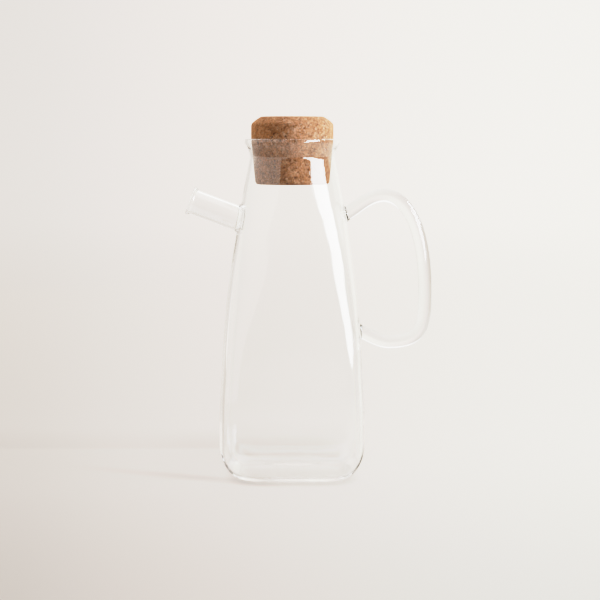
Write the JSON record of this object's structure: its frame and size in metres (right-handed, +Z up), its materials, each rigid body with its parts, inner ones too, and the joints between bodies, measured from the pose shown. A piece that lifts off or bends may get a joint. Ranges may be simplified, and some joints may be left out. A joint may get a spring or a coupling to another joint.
{
  "type": "glass bottle",
  "caption": "Clear glass oil bottle, square at the base and round at the neck, with a side pouring spout, a bent rod handle and a tapered cork stopper.",
  "frame": {"origin": "centre of the flat base, on the surface that the bottle stands on", "axes": "+Z up along the neck's axis; the spout points to -X and the handle to +X; +Y runs away from the pictured side"},
  "size_m": [0.1481, 0.086, 0.2153],
  "materials": {
    "glass": "clear, smooth, fire-polished borosilicate glass",
    "cork": "matt granulated cork with dark pits"
  },
  "bodies": {
    "root": {"glass_bottle": "glass", "cork_stopper": "cork"}
  },
  "joints": []
}
